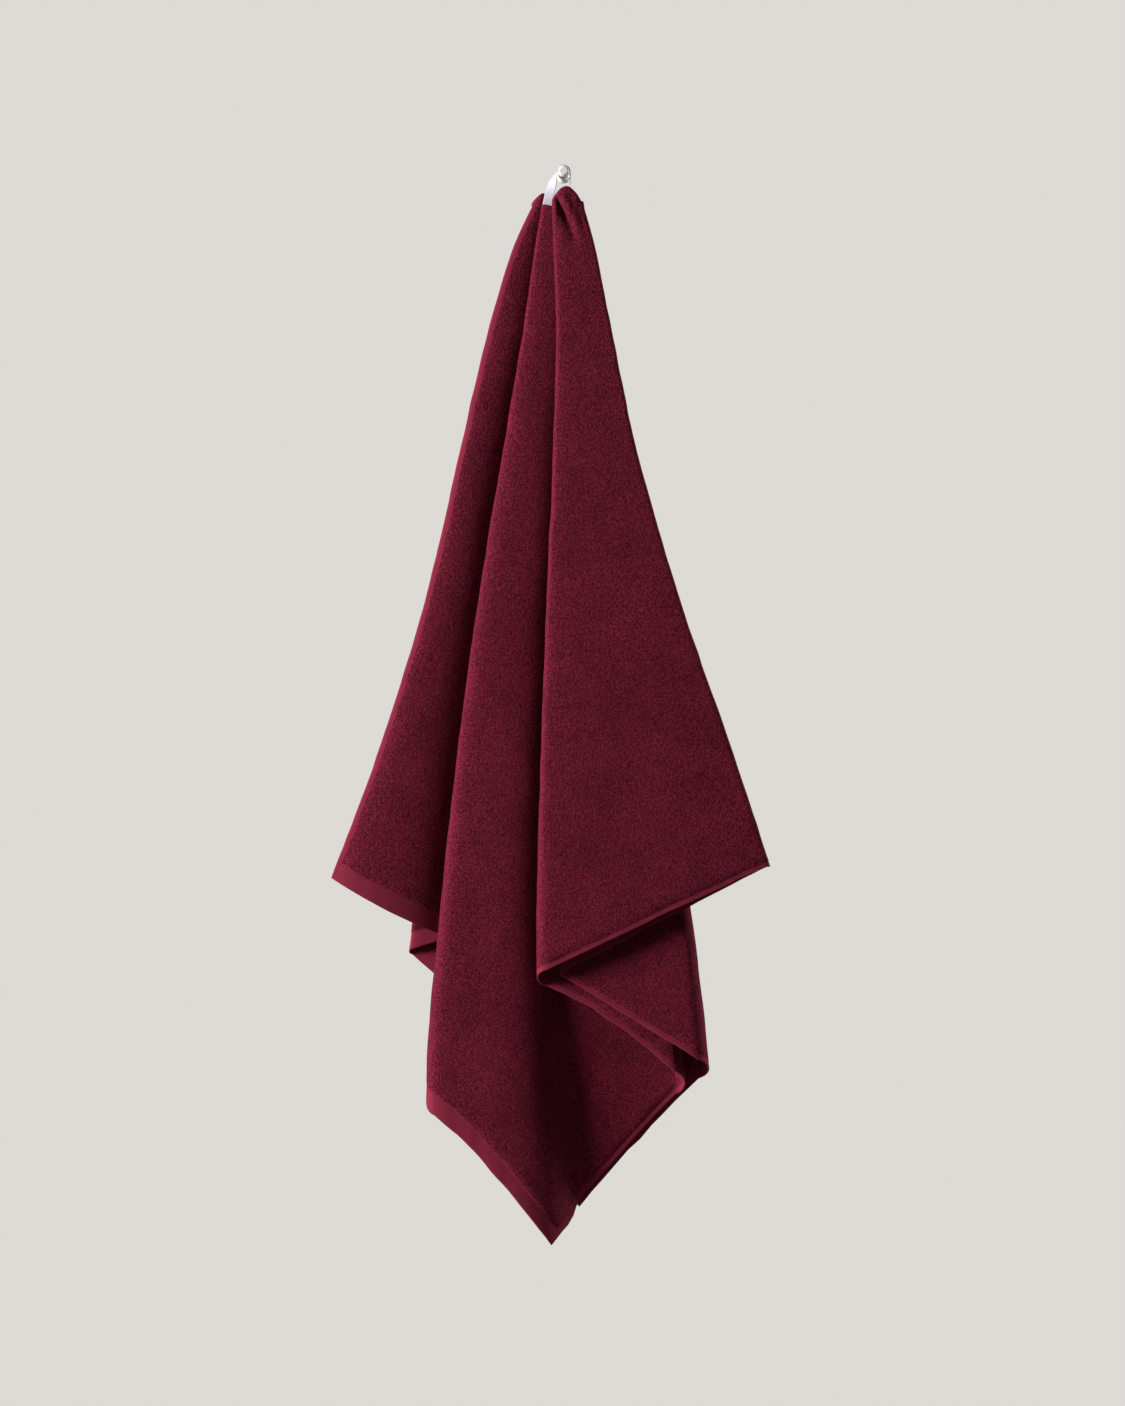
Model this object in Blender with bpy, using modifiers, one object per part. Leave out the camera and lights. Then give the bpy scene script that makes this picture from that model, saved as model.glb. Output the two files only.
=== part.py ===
"""Bath sheet hanging by its loop from a wall peg.

Metres, +Z up. The wall is the plane y = 0 and the cloth hangs in front of it, at y < 0. The origin is
the middle of the peg's wall face, so the peg's axis is the Y axis.

The sheet is 1.8 x 0.9 m, with the loop at the middle of one long side. It hangs doubled along the line
from the loop to the middle of the other long side, and the doubled cloth is folded to and fro. Every
fold line runs down from the loop, so the sheet is lofted between fold lines: FOLD_LINES gives where each
one runs, and PANELS how far each panel between two lines stands off the wall.
"""
import math

import bmesh
import bpy

SHEET_THICKNESS = 0.0024
PEG_DIAMETER = 0.014
PEG_LENGTH = 0.037
ROSE_DIAMETER = 0.018
TAPE_WIDTH = 0.012
TAPE_THICKNESS = 0.0012
ROWS = 21
# Where the cloth's own origin hangs from the peg's axis: across and down, in mm.
CLOTH_ACROSS = -2.0
CLOTH_DOWN = 6.5

# Heights below the cloth's origin, in mm, at which the tables below give their values.
STATIONS = (35, 90, 190, 340, 520, 720, 890, 1080, 1305)
DEPTH_STATIONS = (35, 190, 520, 890, 1305)

# One row a fold line, in the order in which they cross the cloth from one end hem to the other.
# side: where the fold bulges, +1 to the right, -1 to the left, 0 for a free edge or a corner of the hem.
# end: height below the cloth's origin where the line reaches the hem, mm.
# across: distance to the right of the cloth's origin at each of STATIONS, mm.
FOLD_LINES = (
    ("end_a", 0, 860, (-38, -62, -91.5, -126.4, -168, -230.6, -294, -362, -440)),
    ("fold_5", 1, 992, (6.1, 9.8, 15.9, 26.8, 40.3, 53.7, 63.4, 73.2, 83)),
    ("fold_6", -1, 1134.6, (-23.8, -32.6, -47, -72, -101.6, -128.3, -146.6, -164, -163)),
    ("corner_b", 0, 1307, None),
    ("fold_2", 1, 1109, (7.3, 14.6, 25.6, 46.4, 73.2, 101.3, 124.4, 146.4, 173)),
    ("fold_1", -1, 978, (-11, -9.4, -6.1, -9.8, -17, -26, -30.1, -28, -28)),
    ("tip", 1, 843, (24.4, 39.5, 59.4, 90.8, 142, 210.5, 266, 330, 405)),
    ("fold_1b", -1, 973, (-4.9, -1.2, 4.9, 2.4, -1.2, -4.9, -2.4, 1.2, 4)),
    ("fold_2b", 1, 1092, (12.2, 20.7, 36.6, 61, 92.7, 126.9, 155, 177.5, 198)),
    ("corner_c", 0, 1266, None),
    ("fold_6b", -1, 1121, (-15, -24, -38, -62, -91, -117, -135, -152, -150)),
    ("fold_5b", 1, 1017, (13, 18.5, 26.5, 40, 56, 73, 86, 99, 113)),
    ("flap", -1, 952, (-25.6, -37.8, -56, -80.5, -111, -148.8, -179.3, -205, -234)),
    ("end_d", 0, 908, (-11, -13.4, -15.9, -19.5, -25.6, -35.4, -46.4, -57.3, -69.5)),
)

# The corner of the cloth that hangs in the middle of a panel, and its share of the panel's width.
CORNERS = {"centre": ("corner_b", 0.435), "centre_back": ("corner_c", 0.49)}

# One row a panel between two fold lines that turn.
# depth: distance of the panel from the wall at each of DEPTH_STATIONS, mm.
# valley: share of the common soft valley that this panel follows.
# hem_bow: how far the middle of its hem hangs below a straight line, mm.
# top: height of its top edge below the cloth's origin at its start, middle and end, mm.
# hood: how far the top edge turns back over the layers behind it, at the same three places, mm.
# steps: how many strips the panel is lofted in.
PANELS = (
    ("left_wing", "end_a", "fold_5", (14.5, 15.5, 22, 26, 22), 0.50, 18, (31, 25, 47), (5, 4, 0), 6),
    ("left_return", "fold_5", "fold_6", (18.2, 19.8, 28, 35, 30), 0.75, 0, (53, 57, 44), (0, 0, 0), 4),
    ("centre", "fold_6", "fold_2", (29.5, 33, 47, 61, 58), 1.0, 0, (35, 38, 54), (3, 4, 0), 10),
    ("lower_right", "fold_2", "fold_1", (33.2, 37.5, 53, 69, 72), 0, -8, (54, 50, 34), (0, 0, 0), 4),
    ("right_wing", "fold_1", "tip", (44.6, 51, 72, 94, 104), 0, 0, (31, 14, 30), (4, 9, 4), 6),
    ("right_wing_back", "tip", "fold_1b", (40.8, 46.5, 65, 85, 92), 0, 0, (32, 42, 50), (0, 0, 0), 4),
    ("second_panel", "fold_1b", "fold_2b", (37, 42, 59, 77, 82), 0, 2, (50, 54, 56), (0, 0, 0), 4),
    ("centre_back", "fold_2b", "fold_6b", (25.8, 28.5, 40.5, 53, 50), 1.0, 0, (56, 56, 56), (0, 0, 0), 7),
    ("left_return_back", "fold_6b", "fold_5b", (22, 24, 34, 43, 40), 0.85, 0, (56, 52, 52), (0, 0, 0), 5),
    ("rear", "fold_5b", "flap", (7, 7, 8, 9, 9), 0, 50, (52, 50, 52), (0, 0, 0), 3),
    ("flap_front", "flap", "end_d", (10.8, 11.3, 15, 17, 17), 0.15, 0, (52, 58, 60), (0, 0, 0), 2),
)


def stations(heights, values, height):
    """Value of a table row at a height, along a smooth curve through its stations."""
    last = len(heights) - 1
    if height >= heights[last]:
        slope = (values[last] - values[last - 1]) / (heights[last] - heights[last - 1])
        return values[last] + slope * (height - heights[last])
    if height <= heights[0]:
        slope = (values[1] - values[0]) / (heights[1] - heights[0])
        return values[0] + slope * (height - heights[0])
    i = max(k for k in range(last) if heights[k] <= height)
    span = heights[i + 1] - heights[i]
    t = (height - heights[i]) / span

    def slope_at(k):
        low = max(k - 1, 0)
        high = min(k + 1, last)
        return (values[high] - values[low]) / (heights[high] - heights[low])

    a = slope_at(i) * span
    b = slope_at(i + 1) * span
    rise = values[i + 1] - values[i]
    return values[i] + t * (a + t * (3 * rise - 2 * a - b + t * (a + b - 2 * rise)))


def held(heights, values, height):
    """As stations, but level above the first height and below the last."""
    return stations(heights, values, min(max(height, heights[0]), heights[-1]))


def smooth(t):
    t = min(max(t, 0.0), 1.0)
    return t * t * (3 - 2 * t)


def through(values, share):
    """Smooth run through a row's start, middle and end values."""
    if share < 0.5:
        return values[0] + (values[1] - values[0]) * smooth(2 * share)
    return values[1] + (values[2] - values[1]) * smooth(2 * share - 1)


LINES = {name: (side, end, across) for name, side, end, across in FOLD_LINES}


def line_x(name, height):
    return stations(STATIONS, LINES[name][2], height)


def valley(x, height):
    """Depth of the soft valley that runs down the middle of the centre panel, mm."""
    deep = held((35, 190, 520, 890, 1080, 1305), (0, 2, 9, 13, 26, 30), height)
    middle = held((35, 520, 890, 1080, 1305), (-4, -24, -20, -8, 0), height)
    width = held((35, 520, 1305), (12, 44, 58), height)
    return deep / (1 + ((x - middle) / width) ** 2)


def panel_depth(panel, x, height, share):
    """Distance of a panel's middle surface from the wall, mm; share runs 0 to 1 across the panel."""
    depth = held(DEPTH_STATIONS, panel[3], height) - panel[4] * valley(x, height)
    if panel[0] == "left_wing":
        depth -= held((35, 520, 890), (1, 7, 9), height) * (1 - smooth(share / 0.35))
        depth += held((35, 520, 890), (0, 2, 5), height) * math.sin(math.pi * min(share / 0.7, 1.0)) ** 2
    if panel[0] == "right_wing":
        crease = math.exp(-((height - 42) / 26) ** 2)
        depth += 5 * crease * (1 - math.exp(-((x - (4 + 0.13 * height)) / 6) ** 2))
        depth += held((190, 520, 890), (0, 2, 4), height) * math.sin(math.pi * share)
    if panel[0] == "second_panel":
        depth += held((890, 1080), (0, 5), height) * smooth(share)
    if panel[0] == "centre":
        depth += held((190, 890, 1305), (0, 3, 5), height) * math.sin(math.pi * share) * math.sin(5 * share)
    return depth


def fold_edge(name, before, after, height):
    """x of a fold line, the inward reach of its rounding, and the depths it joins, at a height, mm."""
    x = line_x(name, height)
    a = panel_depth(before, x, height, 1.0)
    b = panel_depth(after, x, height, 0.0)
    return x, 0.5 * abs(a - b), a, b


def between(near, far, share, near_length, far_length):
    """Point on a straight hem that a ray reaches, given as a share of the way between two fold lines."""
    e = near_length * share / (near_length * share + far_length * (1 - share) + 1e-9)
    return near + (far - near) * e


def columns():
    """One entry a column of the loft: (kind, panel or fold index, parameter)."""
    made = [("edge", 0, 0.0)]
    arcs = {"fold_6": 6, "fold_1": 6, "fold_2b": 6, "fold_5b": 6}
    for k, panel in enumerate(PANELS):
        steps = panel[8]
        corner = CORNERS.get(panel[0], (None, 0.5))[1]
        half = steps // 2
        for i in range(1, steps):
            share = corner * i / half if i <= half else corner + (1 - corner) * (i - half) / (steps - half)
            made.append(("panel", k, share))
        if k < len(PANELS) - 1:
            parts = arcs.get(panel[2], 4)
            made.extend(("fold", k, -1 + 2 * i / parts) for i in range(parts + 1))
    made.append(("edge", len(PANELS) - 1, 1.0))
    return made


def hem_height(panel, share):
    """Height of a panel's hem below the peg at a share of its width, mm."""
    names = [panel[1], panel[2]]
    bow = panel[5]
    if panel[0] in CORNERS:
        middle, corner = CORNERS[panel[0]]
        names = [panel[1], middle] if share <= corner else [middle, panel[2]]
        share = share / corner if share <= corner else (share - corner) / (1 - corner)
        bow = {"fold_6": -7, "corner_b": -2}.get(names[0], 0)
    near, far = LINES[names[0]][1], LINES[names[1]][1]
    return between(near, far, share, near, far) + bow * math.sin(math.pi * share)


def hem_change(k):
    """How much lower the hem runs over half of the rounding between panel k and the next one, mm."""
    slopes = []
    for panel, ends in ((PANELS[k], (0.9, 1.0)), (PANELS[k + 1], (0.0, 0.1))):
        low, high = (hem_height(panel, share) for share in ends)
        middle = 0.5 * (low + high)
        width = 0.1 * abs(line_x(panel[2], middle) - line_x(panel[1], middle))
        slopes.append((high - low) / math.hypot(width, high - low))
    end = LINES[PANELS[k][2]][1]
    reach = fold_edge(PANELS[k][2], PANELS[k], PANELS[k + 1], end)[1]
    return 0.5 * sum(slopes) * 0.5 * math.pi * reach


def place(column, height):
    """(x, depth) of a column at a height, mm."""
    kind, k, t = column
    panel = PANELS[k]
    if kind == "fold":
        after = PANELS[k + 1]
        x, reach, a, b = fold_edge(panel[2], panel, after, height)
        side = LINES[panel[2]][0]
        turn = math.sin(0.5 * math.pi * t)
        return x - side * reach * (1 - math.cos(0.5 * math.pi * t)), a + (b - a) * 0.5 * (1 + turn)
    left = line_x(panel[1], height)
    right = line_x(panel[2], height)
    if k > 0:
        left -= LINES[panel[1]][0] * fold_edge(panel[1], PANELS[k - 1], panel, height)[1]
    if k < len(PANELS) - 1:
        right -= LINES[panel[2]][0] * fold_edge(panel[2], panel, PANELS[k + 1], height)[1]
    x = left + (right - left) * t
    return x, panel_depth(panel, x, height, t)


def column_range(column):
    """Top and hem heights and the hood's reach for a column, mm."""
    kind, k, t = column
    panel = PANELS[k]
    if kind != "fold":
        corner = CORNERS.get(panel[0])
        first = t if corner is None else min(t / corner[1], 1.0)
        last = t if corner is None else max((t - corner[1]) / (1 - corner[1]), 0.0)
        hem = hem_height(panel, t)
        if k > 0:
            hem += (1 - first) * hem_change(k - 1)
        if k < len(PANELS) - 1:
            hem -= last * hem_change(k)
        return through(panel[6], t), hem, through(panel[7], t)
    after = PANELS[k + 1]
    hood = panel[7][2] + (after[7][0] - panel[7][2]) * smooth(0.5 * (t + 1))
    # A top edge drops on the hidden half of a fold, so the half that shows keeps its height.
    mix = smooth(t) if panel[6][2] < after[6][0] else smooth(t + 1)
    top = panel[6][2] + (after[6][0] - panel[6][2]) * mix
    return top, LINES[panel[2]][1] + hem_change(k) * t, hood


def sheet_grid():
    """Points of the sheet's middle surface, one list a column, in metres."""
    grid = []
    for column in columns():
        top, hem, hood = column_range(column)
        rise = max(hood, 5.0)
        start = top + rise
        points = []
        x, depth = place(column, start)
        for angle in (80, 52, 26):
            a = math.radians(angle)
            points.append((x, -(depth - hood * (1 - math.cos(a))), rise * math.sin(a) - start))
        for j in range(ROWS + 1):
            height = start + (hem - start) * (j / ROWS) ** 1.15
            x, depth = place(column, height)
            points.append((x, -depth, -height))
        grid.append([(0.001 * (x + CLOTH_ACROSS), 0.001 * y, 0.001 * (z - CLOTH_DOWN)) for x, y, z in points])
    return grid


def loft(name, grid):
    """Open mesh through a grid of points, one list a column."""
    bm = bmesh.new()
    verts = [[bm.verts.new(point) for point in column] for column in grid]
    for left, right in zip(verts[:-1], verts[1:]):
        for j in range(len(left) - 1):
            bm.faces.new((left[j], left[j + 1], right[j + 1], right[j]))
    mesh = bpy.data.meshes.new(name)
    bm.to_mesh(mesh)
    bm.free()
    mesh.shade_smooth()
    return mesh


def material(name, colour, roughness):
    made = bpy.data.materials.new(name)
    made.use_nodes = True
    shader = made.node_tree.nodes["Principled BSDF"]
    shader.inputs["Base Color"].default_value = (*colour, 1.0)
    shader.inputs["Roughness"].default_value = roughness
    shader.inputs["Metallic"].default_value = 0.0
    made.diffuse_color = (*colour, 1.0)
    return made


def add_object(name, mesh, finish, collection):
    made = bpy.data.objects.new(name, mesh)
    mesh.materials.append(finish)
    collection.objects.link(made)
    return made


def thicken(piece, thickness):
    shell = piece.modifiers.new("thickness", "SOLIDIFY")
    shell.thickness = thickness
    shell.offset = 0.0
    shell.use_even_offset = False
    return shell


# The tape's path, from its left end on the left wing, over the peg, to its right end beside it.
# x and z from the peg's axis and the distance from the wall, mm. turn: the way its width runs, in
# degrees, 0 along the wall and 90 away from it.
TAPE_UP = (
    (-20.6, -46.5, 16.7, 0),
    (-20.3, -41.0, 16.8, 1),
    (-19.0, -33.5, 17.8, 6),
    (-16.4, -23.0, 20.4, 15),
    (-13.6, -13.0, 23.2, 34),
    (-11.0, -6.0, 24.8, 60),
    (-8.9, -0.8, 25.3, 82),
)
TAPE_DOWN = (
    (8.0, -4.5, 25.5, 90),
    (8.1, -11.5, 25.0, 90),
    (7.3, -19.5, 23.8, 84),
    (5.6, -29.0, 21.6, 64),
    (2.4, -38.0, 19.2, 36),
    (-1.2, -46.0, 17.4, 12),
    (-3.4, -52.5, 16.75, 2),
    (-4.4, -58.0, 16.7, 0),
)
TAPE_OUT = 25.5


def tape_grid():
    """Two edges and a middle line of the tape's middle surface, in metres."""
    over = 0.5 * PEG_DIAMETER * 1000 + 0.35 + 0.5 * TAPE_THICKNESS * 1000
    stops = list(TAPE_UP)
    for i in range(10):
        a = math.radians(162 - 18.2 * i)
        stops.append((over * math.cos(a), over * math.sin(a), TAPE_OUT, 90))
    stops.extend(TAPE_DOWN)
    rows = []
    for i, (x, z, out, turn) in enumerate(stops):
        before = stops[max(i - 1, 0)]
        after = stops[min(i + 1, len(stops) - 1)]
        along = math.hypot(after[0] - before[0], after[1] - before[1])
        # Across the tape in the plane of the wall, always to the right of the way that it runs.
        side_x = (after[1] - before[1]) / along
        side_z = -(after[0] - before[0]) / along
        t = math.radians(turn)
        half = 0.5 * TAPE_WIDTH * 1000
        row = []
        for k in (-1, 0, 1):
            flat = half * k * math.cos(t)
            row.append((x + side_x * flat, -out - half * k * math.sin(t), z + side_z * flat))
        rows.append([tuple(0.001 * v for v in point) for point in row])
    return [[row[k] for row in rows] for k in range(3)]


def peg_profile():
    """Outer line of the peg from its round front end to the middle of its wall face: radius, out."""
    r = 0.5 * PEG_DIAMETER
    points = []
    for i in range(8):
        a = math.radians(90 - 90 * i / 7)
        points.append((r - 0.003 + 0.003 * math.cos(a), PEG_LENGTH - 0.003 + 0.003 * math.sin(a)))
    points[0] = (r - 0.003, PEG_LENGTH)
    points.insert(0, (0.0, PEG_LENGTH))
    points.append((r, 0.010))
    for i in range(1, 5):
        a = math.radians(90 * i / 4)
        reach = 0.5 * ROSE_DIAMETER - r
        points.append((r + reach * (1 - math.cos(a)), 0.010 - 0.006 * math.sin(a)))
    points.append((0.5 * ROSE_DIAMETER, 0.0))
    points.append((0.0, 0.0))
    return points


def peg_mesh(name):
    bm = bmesh.new()
    verts = [bm.verts.new((radius, 0.0, out)) for radius, out in peg_profile()]
    for a, b in zip(verts[:-1], verts[1:]):
        bm.edges.new((a, b))
    mesh = bpy.data.meshes.new(name)
    bm.to_mesh(mesh)
    bm.free()
    return mesh


for old in list(bpy.data.objects):
    bpy.data.objects.remove(old)

parts = bpy.data.collections.new("bath_sheet_on_hook")
bpy.context.scene.collection.children.link(parts)

terry = material("terry", (0.125, 0.010, 0.028), 0.95)
webbing = material("tape", (0.72, 0.70, 0.74), 0.7)
paint = material("peg_paint", (0.74, 0.70, 0.64), 0.45)

sheet = add_object("bath_sheet", loft("bath_sheet", sheet_grid()), terry, parts)
thicken(sheet, SHEET_THICKNESS)

tape = add_object("hanging_loop", loft("hanging_loop", tape_grid()), webbing, parts)
thicken(tape, TAPE_THICKNESS)

peg = add_object("hook", peg_mesh("hook"), paint, parts)
peg.rotation_euler = (math.radians(90), 0.0, 0.0)
turned = peg.modifiers.new("turned", "SCREW")
turned.angle = math.radians(360)
turned.steps = 40
turned.render_steps = 40
turned.axis = "Z"
turned.use_merge_vertices = True
turned.merge_threshold = 0.00001
turned.use_smooth_shade = True
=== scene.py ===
"""Terry bath sheet hanging by its tape loop from a painted wall peg.

Metres, +Z up, seen along +Y. The origin is the middle of the peg's wall face. The sheet is lofted on the
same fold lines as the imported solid's, in smaller strips, with its woven hems, the slight unevenness of hung
cloth, and the gathers and the crease under the loop.
"""

import math
from collections import namedtuple

import bmesh
import bpy
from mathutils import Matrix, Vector, noise


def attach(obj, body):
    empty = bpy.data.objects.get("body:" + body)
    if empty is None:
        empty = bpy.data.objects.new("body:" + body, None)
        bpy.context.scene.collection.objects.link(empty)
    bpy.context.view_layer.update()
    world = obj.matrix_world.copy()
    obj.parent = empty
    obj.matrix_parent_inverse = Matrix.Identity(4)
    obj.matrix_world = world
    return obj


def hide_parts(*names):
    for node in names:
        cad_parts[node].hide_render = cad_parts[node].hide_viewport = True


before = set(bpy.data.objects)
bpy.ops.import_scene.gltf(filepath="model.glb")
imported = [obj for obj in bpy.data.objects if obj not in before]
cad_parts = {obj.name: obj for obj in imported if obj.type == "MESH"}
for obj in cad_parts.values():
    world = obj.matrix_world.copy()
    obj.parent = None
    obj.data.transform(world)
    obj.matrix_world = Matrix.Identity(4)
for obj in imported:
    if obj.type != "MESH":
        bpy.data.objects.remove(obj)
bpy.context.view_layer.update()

# Sizes, in metres unless a name says mm
SHEET_SIZE = (1.8, 0.9)
# From the loop to each end hem, and to the far long side, because the cloth is 2 to 1.
HALF_SIDE = SHEET_SIZE[0] / 2
PILE_THICKNESS = 0.0027
END_HEM = 0.022
SIDE_HEM = 0.0065
PEG_RADIUS_MM = 7.0
TAPE_WIDTH_MM = 12.0
TAPE_THICKNESS = 0.0011

# The tables of the cloth are in mm: x to the right of its own middle line, heights down from its own
# origin, and depths off the wall. That line and that origin lie here from the peg's axis.
CLOTH_ACROSS = -2.0
CLOTH_DOWN = 6.5
STATIONS = (35, 90, 190, 340, 520, 720, 890, 1080, 1305)
DEPTH_STATIONS = (35, 190, 520, 890, 1305)

# A fold line or an end of the cloth: the side that the fold bulges to, the height where it reaches the hem,
# its angle on the flat sheet about the loop (degrees), and its x at each of STATIONS. A corner of the sheet
# lies between two fold lines, so it has no run of its own.
FoldLine = namedtuple("FoldLine", "name side hem angle across")
FOLD_LINES = (
    FoldLine("end_a", 0, 860, 0.0, (-38, -62, -91.5, -126.4, -168, -230.6, -294, -362, -440)),
    FoldLine("fold_5", 1, 992, 23.35, (6.1, 9.8, 15.9, 26.8, 40.3, 53.7, 63.4, 73.2, 83)),
    FoldLine("fold_6", -1, 1134.6, 36.3, (-23.8, -32.6, -47, -72, -101.6, -128.3, -146.6, -164, -163)),
    FoldLine("corner_b", 0, 1307, 45.0, None),
    FoldLine("fold_2", 1, 1109, 55.4, (7.3, 14.6, 25.6, 46.4, 73.2, 101.3, 124.4, 146.4, 173)),
    FoldLine("fold_1", -1, 978, 70.5, (-11, -9.4, -6.1, -9.8, -17.5, -25, -29.5, -28, -28)),
    FoldLine("tip", 1, 843, 90.0, (24.4, 39.5, 59.4, 90.8, 142, 210.5, 266, 330, 405)),
    FoldLine("fold_1b", -1, 973, 109.5, (-4.9, -1.2, 4.9, 2.4, -1.2, -4.9, -2.4, 1.2, 4)),
    FoldLine("fold_2b", 1, 1092, 124.6, (12.2, 20.7, 36.6, 61, 92.7, 126.9, 155, 177.5, 198)),
    FoldLine("corner_c", 0, 1266, 135.0, None),
    FoldLine("fold_6b", -1, 1121, 143.7, (-15, -24, -38, -62, -91, -117, -135, -152, -150)),
    FoldLine("fold_5b", 1, 1017, 157.5, (13, 18.5, 26.5, 40, 56, 73, 86, 99, 113)),
    FoldLine("flap", -1, 952, 172.0, (-25.6, -37.8, -56, -80.5, -111, -148.8, -179.3, -205, -234)),
    FoldLine("end_d", 0, 908, 180.0, (-11, -13.4, -15.9, -19.5, -25.6, -35.4, -46.4, -57.3, -69.5)),
)
LINES = {line.name: line for line in FOLD_LINES}

# A panel runs from one fold line to the next: its depths at DEPTH_STATIONS, its share of the valley, its
# hem's bow, its top edge's height and its hood's reach back at even steps across, and its strips.
Panel = namedtuple("Panel", "name start end depths valley bow tops hoods strips")
PANELS = (
    Panel("left_wing", "end_a", "fold_5", (14.5, 15.5, 22, 26, 22), 0.55, 18,
          (22, 18, 18, 20, 23, 40, 47), (4, 6, 0), 36),
    Panel("left_return", "fold_5", "fold_6", (18.2, 19.8, 28, 35, 30), 0.75, 0,
          (53, 57, 44), (0, 0, 0), 12),
    Panel("centre", "fold_6", "fold_2", (29.5, 33, 47, 61, 58), 1.0, 0,
          (34, 37, 54), (4, 3, 0), 44),
    Panel("lower_right", "fold_2", "fold_1", (33.2, 37.5, 53, 69, 72), 0, -8,
          (54, 50, 34), (0, 0, 2), 14),
    Panel("right_wing", "fold_1", "tip", (46.2, 52, 72, 94, 104), 0, 0,
          (24, 18.5, 15, 13.5, 15.5, 20.5, 28), (6, 10, 3), 44),
    Panel("right_wing_back", "tip", "fold_1b", (40.8, 46.5, 65, 85, 92), 0, 0,
          (44, 47, 50), (0, 0, 0), 14),
    Panel("second_panel", "fold_1b", "fold_2b", (37, 42, 59, 77, 82), 0, 2,
          (50, 54, 56), (0, 0, 0), 18),
    Panel("centre_back", "fold_2b", "fold_6b", (25.8, 28.5, 40.5, 53, 50), 1.0, 0,
          (56, 56, 56), (0, 0, 0), 20),
    Panel("left_return_back", "fold_6b", "fold_5b", (22, 24, 34, 43, 40), 0.88, 0,
          (56, 52, 52), (0, 0, 0), 14),
    Panel("rear", "fold_5b", "flap", (7, 7, 8, 9, 9), 0.1, 50,
          (52, 50, 52), (2, 3, 2), 22),
    Panel("flap_front", "flap", "end_d", (10.8, 11.3, 15, 17, 17), 0.3, 0,
          (52, 58, 60), (2, 2, 2), 12),
)
LAST_PANEL = len(PANELS) - 1

# The corner of the sheet that a panel holds, and its share of the way across. Beside a corner the hem bows
# by its own amount, named here by the line on the left.
CORNERS = {"centre": ("corner_b", 0.445), "centre_back": ("corner_c", 0.49)}
CORNER_BOWS = {"fold_6": -7, "corner_b": -2}

# Each of the rows below is read by held(): heights or shares, and the values there.
# The soft valley down the middle of the centre panel. To its right it keeps a share of its depth, and
# low down it goes on sinking a little past VALLEY_ASIDE_FROM.
VALLEY_DEEP = ((35, 190, 340, 520, 890, 1080, 1305), (0, 5, 10, 14, 19, 31, 36))
VALLEY_MIDDLE = ((35, 190, 340, 520, 720, 890, 980, 1080, 1200, 1305),
                 (0, 6, 3, -5, -13, -15, -4, 10, 17, 20))
VALLEY_LEFT = ((35, 190, 340, 520, 720, 890, 1080, 1305), (9, 13, 18, 20, 19, 22, 28, 23))
VALLEY_RIGHT = ((35, 520, 890, 1080, 1305), (14, 40, 60, 70, 70))
VALLEY_KEPT = ((890, 1020), (0, 0.88))
VALLEY_ASIDE = ((1000, 1080), (0, 0.05))
VALLEY_ASIDE_FROM = 60

# The crease under the loop, the low crest to its right, and the gathers of the bunched cloth. A layer
# takes less of them the nearer it is to DENT_NONE, a depth, and all of them DENT_FADE in front of it.
DENTED_TO = 130
DENT_NONE = 7
DENT_FADE = 38
CREASE_X = ((28, 35, 46, 56, 65, 75, 97), (-6, -3.3, 2.1, 7.3, 10, 14, 16))
CREASE_DEEP = ((24, 32, 42, 54, 68, 90), (0, 6, 7.5, 4.2, 2.4, 0))
CREASE_WIDTH = ((42, 56), (3.6, 6.2))
CREST_HIGH = ((18, 34, 48, 90), (0, 2, 2, 0))
CREST_ASIDE = 8.5
CREST_WIDTH = 5.5
GATHERS_DEEP = ((20, 40, 60, 120), (1.3, 2.2, 0.9, 0))
GATHERS_LEAN = 0.12
GATHERS_ACROSS = 6.5
GATHERS_DOWN = 45

# The left wing's crest, the roll of its free edge, and the drop beside the central ridge.
WING_CREST = ((35, 190, 340, 520, 890), (2, 6, 9, 10.5, 15))
WING_ROLL = ((35, 340, 890), (2, 5, 10))
WING_ROLL_WIDTH = ((340, 890), (7, 22))
WING_DROP = ((190, 340, 520, 890), (0.5, 1.9, 2.6, 6))
WING_DROP_WIDTH = 8
WING_TUCK = 5
# The central ridge's rounding and the slow wave across the centre panel.
RIDGE_ROUND = ((35, 190, 340), (2, 4, 7))
RIDGE_WIDTH = 8.5
CENTRE_WAVE = ((190, 890, 1305), (0, 3, 5))
# The right wing's belly, the turn of its front fold, and the second panel's lift at its right.
BELLY = ((190, 520, 890), (0, 1, 2))
FRONT_TURN = 2.5
FRONT_TURN_WIDTH = 9
SECOND_LIFT = ((890, 1080), (0, 5))

# A fold's rounding reaches in by a share of half the layers' distance, but by no less than the square root
# of SHARPEST times that half, or the pile on its inside would cross itself. It never passes that half or
# WIDEST.
FOLD_ROUND = ((700, 930), (0.5, 1.0))
SHARPEST = 2.2
WIDEST = 20
WIDEST_AT = {"fold_2": 12, "fold_2b": 12}
# Degrees of the flat sheet that a rounding takes on either side of its fold line.
FOLD_TAKES = 0.9
FOLD_PARTS = 9

# Distances in from a free side edge at which the side hem's columns run, and the share of the pile's
# thickness up to a distance.
RIM_STEPS = (0.7, 3.4, 6.4, 7.6)
RIM_WEIGHTS = ((0.1, 0.45), (1.0, 0.72), (6.5, 0.78), (math.inf, 1.0))
ROWS = 112
ROW_CROWDING = 1.12
HOOD_ANGLES = (84, 66, 48, 32, 16)
HOOD_RISE = 5.0
# Gaps between the seam and the rows above and below it, and the end hem's rows: the share of its width and
# of the pile's thickness.
SEAM_GAPS = (0.5, 0.3)
HEM_ROWS = ((0.0, 0.70), (0.16, 0.74), (0.5, 0.76), (0.84, 0.76), (0.955, 0.66), (1.0, 0.40))

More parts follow.
